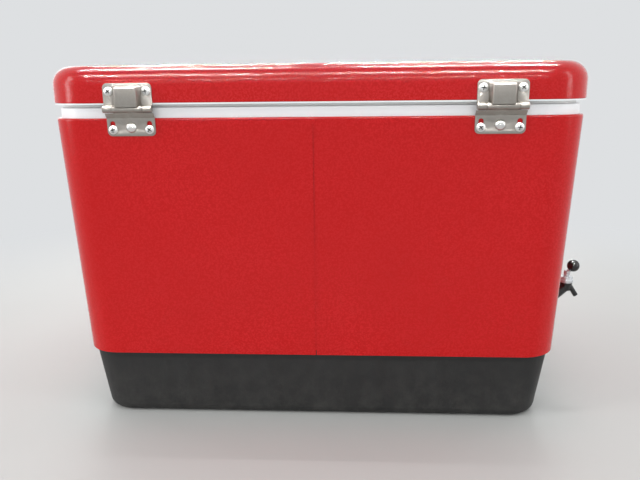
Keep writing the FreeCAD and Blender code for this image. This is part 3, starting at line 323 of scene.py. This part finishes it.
def dustGroup(look):
    # A soft mask that is fuller towards the ground, for dust and scuffing.
    group, given, out = newGroup("lowDust", [
        ("Top", True, 0.08),
        ("Amount", True, 0.3),
        ("Mask", False, None),
    ])
    link = group.links.new
    place = addNode(group, "ShaderNodeTexCoord").outputs["Object"]
    split = addNode(group, "ShaderNodeSeparateXYZ")
    fall = addNode(group, "ShaderNodeMapRange", To_Min=1.0, To_Max=0.0)
    speck = addNode(group, "ShaderNodeTexNoise", Scale=look["scale"], Detail=look["detail"],
                    Roughness=look["rough"])
    sharp = addNode(group, "ShaderNodeMapRange", From_Min=look["from"], From_Max=look["full"])
    link(place, split.inputs["Vector"])
    link(split.outputs["Z"], fall.inputs["Value"])
    link(given.outputs["Top"], fall.inputs["From Max"])
    link(place, speck.inputs["Vector"])
    link(speck.outputs["Fac"], sharp.inputs["Value"])
    lowSpecks = addMath(group, "MULTIPLY", fall.outputs["Result"], sharp.outputs["Result"])
    link(addMath(group, "MULTIPLY", lowSpecks, given.outputs["Amount"]), out.inputs["Mask"])
    return group


sheetLines = {
    "stretch": (0.04, 1.0, 1.0),             # the lines run along X
    "lineDetail": 3.0,
    "tarnishScale": 130.0,
    "tarnishDetail": 7.0,
    "tarnishRough": 0.65,
}


def brushedGroup(look):
    # Fine lines and cloudy tarnish, for rolled and plated sheet.
    group, given, out = newGroup("rolledSheet", [
        ("Lines", True, 900.0),
        ("Line Mask", False, None),
        ("Tarnish", False, None),
    ])
    link = group.links.new
    place = addNode(group, "ShaderNodeTexCoord").outputs["Object"]
    stretch = addNode(group, "ShaderNodeMapping", Scale=look["stretch"])
    lines = addNode(group, "ShaderNodeTexNoise", Detail=look["lineDetail"])
    cloud = addNode(group, "ShaderNodeTexNoise", Scale=look["tarnishScale"],
                    Detail=look["tarnishDetail"], Roughness=look["tarnishRough"])
    link(place, stretch.inputs["Vector"])
    link(stretch.outputs["Vector"], lines.inputs["Vector"])
    link(given.outputs["Lines"], lines.inputs["Scale"])
    link(place, cloud.inputs["Vector"])
    link(lines.outputs["Fac"], out.inputs["Line Mask"])
    link(cloud.outputs["Fac"], out.inputs["Tarnish"])
    return group


grain = grainGroup(pebbles)
lowDust = dustGroup(dustSpecks)
rolled = brushedGroup(sheetLines)


def placeGroup(tree, group, **values):
    node = tree.nodes.new("ShaderNodeGroup")
    node.node_tree = group
    for key, value in values.items():
        node.inputs[key].default_value = value
    return node


def newFinish(name, **values):
    finish = bpy.data.materials.new(name)
    finish.use_nodes = True
    shader = finish.node_tree.nodes["Principled BSDF"]
    for key, value in values.items():
        shader.inputs[key.replace("_", " ")].default_value = value
    return finish, finish.node_tree, shader


def noise(tree, scale, detail=4.0, rough=0.55, squash=(1, 1, 1)):
    place = addNode(tree, "ShaderNodeTexCoord")
    stretch = addNode(tree, "ShaderNodeMapping", Scale=squash)
    cloud = addNode(tree, "ShaderNodeTexNoise", Scale=scale, Detail=detail, Roughness=rough)
    tree.links.new(place.outputs["Object"], stretch.inputs["Vector"])
    tree.links.new(stretch.outputs["Vector"], cloud.inputs["Vector"])
    return cloud.outputs["Fac"]


halfway = (0.3, 0.7)                         # where a noise goes from its low shade to its high one


def tint(tree, source, shades, stops=halfway):
    # Colours that follow a 0 to 1 value, each from its own stop.
    node = addNode(tree, "ShaderNodeValToRGB")
    band = node.color_ramp
    while len(band.elements) < len(stops):
        band.elements.new(0.5)
    for element, at, colour in zip(band.elements, stops, shades):
        element.position = at
        element.color = (*colour, 1)
    tree.links.new(source, node.inputs["Fac"])
    return node.outputs["Color"]


def spread(tree, source, low, high, stops=halfway):
    node = addNode(tree, "ShaderNodeMapRange", From_Min=stops[0], From_Max=stops[1],
                   To_Min=low, To_Max=high)
    tree.links.new(source, node.inputs["Value"])
    return node.outputs["Result"]


def bump(tree, height, shader, depth):
    node = addNode(tree, "ShaderNodeBump", Distance=depth)
    tree.links.new(height, node.inputs["Height"])
    tree.links.new(node.outputs["Normal"], shader.inputs["Normal"])


# Below, a cloud, skin, wear or scuffs is a noise's scale, detail, roughness and squash, and a gloss is
# the roughness at its two ends.
enamel = {
    "dark": (0.53, 0.005, 0.006),
    "plain": (0.57, 0.006, 0.008),
    "light": (0.61, 0.0085, 0.011),
    "crease": (0.515, 0.0, 0.0),             # painted shade, a darker red between the pebbles
    "cloud": (5.0, 3.0),
    "cloudStops": (0.3, 0.5, 0.72),
    "cells": 420.0,                          # pebbles to the metre
    "creases": 0.3,
    "depth": 0.00008,
    "gloss": (0.03, 0.22),                   # on the pebbles and in the creases
    "sides": (0.32, 0.62),                   # heights where the pebbles' sides start and end
    "specular": 0.30,
}


def redEnamel(look):
    finish, tree, shader = newFinish("redEnamel", Specular_IOR_Level=look["specular"])
    height = placeGroup(tree, grain, Cells=look["cells"], Creases=look["creases"]).outputs["Height"]
    shades = (look["dark"], look["plain"], look["light"])
    base = tint(tree, noise(tree, *look["cloud"]), shades, look["cloudStops"])
    # The creases take a darker red, painted shade that follows how low the grain lies.
    creaseShadeShare = spread(tree, height, 0.0, 1.0, look["sides"])
    tree.links.new(blendColours(tree, creaseShadeShare, base, look["crease"]), shader.inputs["Base Color"])
    tree.links.new(spread(tree, height, *look["gloss"], look["sides"]), shader.inputs["Roughness"])
    bump(tree, height, shader, look["depth"])
    return finish


panPlastic = {
    "dark": (0.005, 0.005, 0.005),
    "light": (0.0095, 0.0092, 0.009),
    "cloud": (9.0, 6.0, 0.65),
    "dust": (0.10, 0.095, 0.085),
    "dustTop": 0.085,                        # metres above the ground
    "dustAmount": 0.22,
    "cells": 900.0,
    "creases": 0.35,
    "depth": 0.00005,
    "scuffs": (60.0, 8.0, 0.7, (1.0, 1.0, 0.12)),
    "scuffStops": (0.35, 0.65),
    "gloss": (0.42, 0.60),
    "specular": 0.4,
}


def blackPan(look):
    finish, tree, shader = newFinish("blackPanPlastic", Specular_IOR_Level=look["specular"])
    moulded = placeGroup(tree, grain, Cells=look["cells"], Creases=look["creases"])
    base = tint(tree, noise(tree, *look["cloud"]), (look["dark"], look["light"]))
    dust = placeGroup(tree, lowDust, Top=look["dustTop"], Amount=look["dustAmount"])
    tree.links.new(blendColours(tree, dust.outputs["Mask"], base, look["dust"]),
                   shader.inputs["Base Color"])
    scuffs = noise(tree, *look["scuffs"])
    tree.links.new(spread(tree, scuffs, *look["gloss"], look["scuffStops"]), shader.inputs["Roughness"])
    bump(tree, moulded.outputs["Height"], shader, look["depth"])
    return finish


linerPlastic = {
    "dark": (0.88, 0.90, 0.92),
    "light": (0.92, 0.94, 0.96),
    "cloud": (7.0, 5.0, 0.6),
    "wear": (30.0, 6.0),
    "gloss": (0.28, 0.42),
    "skin": (260.0, 3.0),
    "depth": 0.00004,
}


def whiteLiner(look):
    finish, tree, shader = newFinish("whiteLinerPlastic")
    base = tint(tree, noise(tree, *look["cloud"]), (look["dark"], look["light"]))
    tree.links.new(base, shader.inputs["Base Color"])
    tree.links.new(spread(tree, noise(tree, *look["wear"]), *look["gloss"]), shader.inputs["Roughness"])
    bump(tree, noise(tree, *look["skin"]), shader, look["depth"])
    return finish


foamBlock = {
    "dark": (0.70, 0.60, 0.36),
    "light": (0.80, 0.72, 0.50),
    "cloud": (20.0, 5.0),
    "cells": 700.0,
    "depth": 0.0003,
    "rough": 0.95,
}


def stiffFoam(look):
    finish, tree, shader = newFinish("stiffFoam", Roughness=look["rough"])
    place = addNode(tree, "ShaderNodeTexCoord")
    cells = addNode(tree, "ShaderNodeTexVoronoi", Scale=look["cells"])
    tree.links.new(place.outputs["Object"], cells.inputs["Vector"])
    base = tint(tree, noise(tree, *look["cloud"]), (look["dark"], look["light"]))
    tree.links.new(base, shader.inputs["Base Color"])
    bump(tree, cells.outputs["Distance"], shader, look["depth"])
    return finish


rubber = {
    "shades": {                              # dark, light and pebbles to the metre
        "greySealRubber": ((0.78, 0.78, 0.77), (0.86, 0.86, 0.85), 1400.0),
        "blackGripPlastic": ((0.014, 0.014, 0.014), (0.022, 0.022, 0.022), 1100.0),
    },
    "cloud": (18.0, 5.0),
    "creases": 0.6,
    "gloss": (0.62, 0.78),
    "depth": 0.00004,
}


def softRubber(name, look):
    finish, tree, shader = newFinish(name)
    dark, light, cells = look["shades"][name]
    skin = placeGroup(tree, grain, Cells=cells, Creases=look["creases"])
    base = tint(tree, noise(tree, *look["cloud"]), (dark, light))
    tree.links.new(base, shader.inputs["Base Color"])
    tree.links.new(spread(tree, skin.outputs["Mask"], *look["gloss"]), shader.inputs["Roughness"])
    bump(tree, skin.outputs["Height"], shader, look["depth"])
    return finish


metal = {
    "shades": {                              # dull and bright colour, gloss, depth of the lines
        "satinNickel": ((0.31, 0.29, 0.262), (0.36, 0.337, 0.307), (0.28, 0.38), 0.00002),
        "zincScrews": ((0.66, 0.66, 0.65), (0.80, 0.80, 0.79), (0.30, 0.40), 0.00002),
        "brightNickel": ((0.60, 0.60, 0.59), (0.72, 0.72, 0.71), (0.18, 0.30), 0.00002),
        "brightWire": ((0.60, 0.60, 0.60), (0.74, 0.74, 0.74), (0.14, 0.26), 0.00002),
        "greyChrome": ((0.50, 0.53, 0.55), (0.64, 0.67, 0.69), (0.22, 0.34), 0.00001),
        "polishedRivets": ((0.66, 0.655, 0.64), (0.78, 0.775, 0.76), (0.10, 0.18), 0.00001),
    },
    "halfMetal": {"greyChrome": 0.5},        # a thin plating over plastic
    "tarnishStops": (0.32, 0.66),
    "lines": 900.0,                          # to the metre
}


def platedMetal(name, look):
    finish, tree, shader = newFinish(name, Metallic=look["halfMetal"].get(name, 1.0))
    dull, bright, (smooth, rough), depth = look["shades"][name]
    sheet = placeGroup(tree, rolled, Lines=look["lines"])
    tarnish = sheet.outputs["Tarnish"]
    tree.links.new(tint(tree, tarnish, (dull, bright), look["tarnishStops"]), shader.inputs["Base Color"])
    tree.links.new(spread(tree, tarnish, rough, smooth), shader.inputs["Roughness"])
    bump(tree, sheet.outputs["Line Mask"], shader, depth)
    return finish


tapPlastic = {
    "dark": (0.010, 0.010, 0.011),
    "light": (0.018, 0.018, 0.019),
    "cloud": (120.0, 5.0),
    "gloss": (0.14, 0.30),
    "skin": (500.0, 3.0),
    "depth": 0.00002,
}


def glossyBlack(look):
    finish, tree, shader = newFinish("glossyBlackPlastic")
    cloud = noise(tree, *look["cloud"])
    tree.links.new(tint(tree, cloud, (look["dark"], look["light"])), shader.inputs["Base Color"])
    tree.links.new(spread(tree, cloud, *look["gloss"]), shader.inputs["Roughness"])
    bump(tree, noise(tree, *look["skin"]), shader, look["depth"])
    return finish


finishes = {
    "jacket_paint": redEnamel(enamel),
    "base_plastic": blackPan(panPlastic),
    "liner_plastic": whiteLiner(linerPlastic),
    "insulation_foam": stiffFoam(foamBlock),
    "gasket_rubber": softRubber("greySealRubber", rubber),
    "hinge_steel": platedMetal("satinNickel", metal),
    "screw_steel": platedMetal("zincScrews", metal),
    "latch_steel": platedMetal("brightNickel", metal),
    "handle_wire": platedMetal("brightWire", metal),
    "grip_plastic": softRubber("blackGripPlastic", rubber),
    "tap_plastic": glossyBlack(tapPlastic),
    "tap_metal": platedMetal("greyChrome", metal),
}
finishOf = {name: finishes[slot] for name, slot in slotOf.items()}
polished = platedMetal("polishedRivets", metal)
for side in ("right", "left"):
    finishOf[f"hinge_{side}_rivet"] = polished
for name, node in nodes.items():
    node.data.materials.clear()
    node.data.materials.append(finishOf[name])
print("finishes made:", len(finishes))


def selectOnly(*things):
    bpy.ops.object.select_all(action="DESELECT")
    for thing in things:
        thing.select_set(True)
    bpy.context.view_layer.objects.active = things[0]


def addModifier(piece, kind, **values):
    modifier = piece.modifiers.new(kind.title(), kind)
    for key, value in values.items():
        setattr(modifier, key, value)
    selectOnly(piece)
    bpy.ops.object.modifier_apply(modifier=modifier.name)


def finishPiece(piece, node, name):
    # The piece takes the node's body and finish, and is shown in its place.
    piece.name = name
    piece.data.name = name
    piece.data.materials.clear()
    piece.data.materials.append(finishOf[node])
    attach(piece, bodyOf[node])
    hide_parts(node)


hardware = {
    "joinWithin": 0.00002,                   # metres between corners that are one
    "flatWithin": math.radians(0.4),         # between triangles of one flat face
    "roundFrom": math.radians(50),           # edges sharper than this are rounded
    "roundSteps": 2,
    "smoothUnder": math.radians(32),
}


def mergedCopy(node, look):
    # The node's own shape with its corners joined and its flat faces made whole.
    piece = bpy.data.objects.new(node + "Copy", nodes[node].data.copy())
    bpy.context.scene.collection.objects.link(piece)
    selectOnly(piece)
    bpy.ops.object.mode_set(mode="EDIT")
    bpy.ops.mesh.select_all(action="SELECT")
    bpy.ops.mesh.customdata_custom_splitnormals_clear()
    bpy.ops.mesh.remove_doubles(threshold=look["joinWithin"])
    bpy.ops.mesh.dissolve_limited(angle_limit=look["flatWithin"], delimit={"NORMAL"})
    bpy.ops.object.mode_set(mode="OBJECT")
    return piece


softened = {                                 # node: edge rounding in metres
    "hinge_right_upper_leaf": 0.00035,
    "hinge_left_upper_leaf": 0.00035,
    "hinge_right_lower_leaf": 0.00035,
    "hinge_left_lower_leaf": 0.00035,
    "latch_bracket": 0.00035,
    "latch_hasp": 0.00035,
    "latch_keeper": 0.0003,
    "right_handle_front_bracket": 0.0004,
    "right_handle_rear_bracket": 0.0004,
    "left_handle_front_bracket": 0.0004,
    "left_handle_rear_bracket": 0.0004,
    "drain_lock_nut": 0.0005,
    "drain_bonnet": 0.0004,
    "drain_flange": 0.0004,
    "drain_valve_body": 0.0003,
}


def softenEdges(pieces, look):
    for node, width in pieces.items():
        piece = mergedCopy(node, look)
        addModifier(piece, "BEVEL", width=width, segments=look["roundSteps"], limit_method="ANGLE",
                    angle_limit=look["roundFrom"], use_clamp_overlap=True)
        selectOnly(piece)
        bpy.ops.object.shade_smooth_by_angle(angle=look["smoothUnder"])
        finishPiece(piece, node, node + "Softened")


softenEdges(softened, hardware)
print("metal edges softened:", len(softened))


screwHeads = {
    "recessReach": 0.0029,                   # from the screw's middle to just past the cross's ends
    "shallowest": 0.00055,                   # below the top of the dome
    "deepest": 0.0022,
    "headHigh": 0.0028,
    # The colours below are painted shade for the cross recesses, a dark colour where the recess lies in
    # shade.
    "shadeDark": (0.035, 0.033, 0.03),
    "shadeLight": (0.09, 0.085, 0.08),
    "shadeScale": 900.0,
    "shadeRough": 0.9,
}
screwNodes = {                               # the way that the heads face: axis and sign
    "hinge_right_upper_screws": (1, 1),
    "hinge_left_upper_screws": (1, 1),
    "hinge_right_lower_screws": (1, 1),
    "hinge_left_lower_screws": (1, 1),
    "latch_bracket_screws": (1, -1),
    "latch_keeper_screws": (1, -1),
    "right_handle_screws": (0, 1),
    "left_handle_screws": (0, -1),
}


# Painted shade: a dark finish standing in for the shade inside the screws' cross recesses.
def paintedRecessShade(look):
    finish, tree, shader = newFinish("paintedRecessShade", Roughness=look["shadeRough"])
    base = tint(tree, noise(tree, look["shadeScale"]), (look["shadeDark"], look["shadeLight"]))
    tree.links.new(base, shader.inputs["Base Color"])
    return finish


def separateScrews(piece):
    selectOnly(piece)
    bpy.ops.object.mode_set(mode="EDIT")
    bpy.ops.mesh.select_all(action="SELECT")
    bpy.ops.mesh.separate(type="LOOSE")
    bpy.ops.object.mode_set(mode="OBJECT")
    return list(bpy.context.selected_objects)


def darkenRecess(screw, axis, sign, look):
    # The cross's faces take the second finish, a painted shade; the head's corners give the screw's middle.
    corners = [corner.co for corner in screw.data.vertices]
    top = max(corner[axis] * sign for corner in corners)
    head = [corner for corner in corners if corner[axis] * sign > top - look["headHigh"]]
    across = [which for which in range(3) if which != axis]
    middle = [(min(c[which] for c in head) + max(c[which] for c in head)) / 2 for which in across]
    for face in screw.data.polygons:
        away = math.hypot(*(face.center[which] - spot for which, spot in zip(across, middle)))
        depth = top - face.center[axis] * sign
        if away < look["recessReach"] and look["shallowest"] < depth < look["deepest"]:
            face.material_index = 1


def finishScrews(pieces, look):
    recessShade = paintedRecessShade(look)
    for node, (axis, sign) in pieces.items():
        piece = mergedCopy(node, hardware)
        # The second finish is the painted shade for the recesses.
        piece.data.materials.append(recessShade)
        screws = separateScrews(piece)
        for screw in screws:
            darkenRecess(screw, axis, sign, look)
        selectOnly(*screws)
        bpy.ops.object.join()
        piece = bpy.context.object
        bpy.ops.object.shade_smooth_by_angle(angle=hardware["smoothUnder"])
        indices = [face.material_index for face in piece.data.polygons]
        finishPiece(piece, node, node + "Heads")
        piece.data.materials.append(recessShade)
        for face, index in zip(piece.data.polygons, indices):
            face.material_index = index


finishScrews(screwNodes, screwHeads)
print("screw heads finished:", len(screwNodes))


grips = {
    "rib": 0.0032,                           # from one rib to the next
    "ribDeep": 0.0005,
    "grooveEnd": 0.4,                        # shares of a rib, from the groove's start
    "crestStart": 0.6,
    "crestEnd": 0.8,
    "plainEnd": 0.012,
    "shoulder": 0.0006,                      # between the ribs and the plain ends
    "endRound": 0.003,
    "roundMiddle": 0.0009,                   # the end rounding's middle, in from both faces
    "bore": 0.36,                            # a share of the grip's radius
    "steps": 56,
    "joinWithin": 0.000005,
    "smoothUnder": math.radians(24),
}


def lathe(name, points, centre, look):
    # Points are (along Y, away from the axis); the outline is spun about the line through centre.
    bpy.ops.object.select_all(action="DESELECT")
    bpy.ops.mesh.primitive_plane_add(location=(0, 0, 0))
    piece = bpy.context.object
    bpy.ops.object.mode_set(mode="EDIT")
    bpy.ops.mesh.select_all(action="SELECT")
    bpy.ops.mesh.merge(type="CENTER")
    first = Vector((centre[0], centre[1] + points[0][0], centre[2] + points[0][1]))
    bpy.ops.transform.translate(value=first)
    for (y0, r0), (y1, r1) in zip(points, points[1:]):
        bpy.ops.mesh.extrude_region_move(TRANSFORM_OT_translate={"value": (0, y1 - y0, r1 - r0)})
    bpy.ops.mesh.select_all(action="SELECT")
    bpy.ops.mesh.spin(steps=look["steps"], angle=math.tau, center=centre, axis=(0, 1, 0))
    bpy.ops.mesh.select_all(action="SELECT")
    bpy.ops.mesh.remove_doubles(threshold=look["joinWithin"])
    bpy.ops.mesh.normals_make_consistent(inside=False)
    bpy.ops.object.mode_set(mode="OBJECT")
    piece.name = name
    return piece


def gripOutline(half, outer, look):
    # From one end's bore along the outside to the other end's, and back through the bore.
    rib, ends, middle = look["rib"], look["endRound"], look["roundMiddle"]
    bore = outer * look["bore"]
    low = outer - look["ribDeep"]
    ribs = int((half - look["plainEnd"]) * 2 / rib)
    start = -ribs * rib / 2
    points = [(-half, bore), (-half, outer - ends), (-half + middle, outer - middle), (-half + ends, outer)]
    points.append((start - look["shoulder"], outer))
    for turn in range(ribs):
        y = start + turn * rib
        points += [(y, low), (y + rib * look["grooveEnd"], low),
                   (y + rib * look["crestStart"], outer), (y + rib * look["crestEnd"], outer)]
    points += [(-start, low), (-start + look["shoulder"], outer)]
    points += [(half - ends, outer), (half - middle, outer - middle), (half, outer - ends), (half, bore)]
    points.append(points[0])
    return points


def addGrip(node, look):
    low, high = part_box(node)
    half = (high.y - low.y) / 2
    outer = (high.x - low.x) / 2
    piece = lathe(node + "Ribbed", gripOutline(half, outer, look), (low + high) / 2, look)
    selectOnly(piece)
    bpy.ops.object.shade_smooth_by_angle(angle=look["smoothUnder"])
    finishPiece(piece, node, node + "Ribbed")


for side in ("right", "left"):
    addGrip(side + "_handle_grip", grips)
print("grips ribbed")
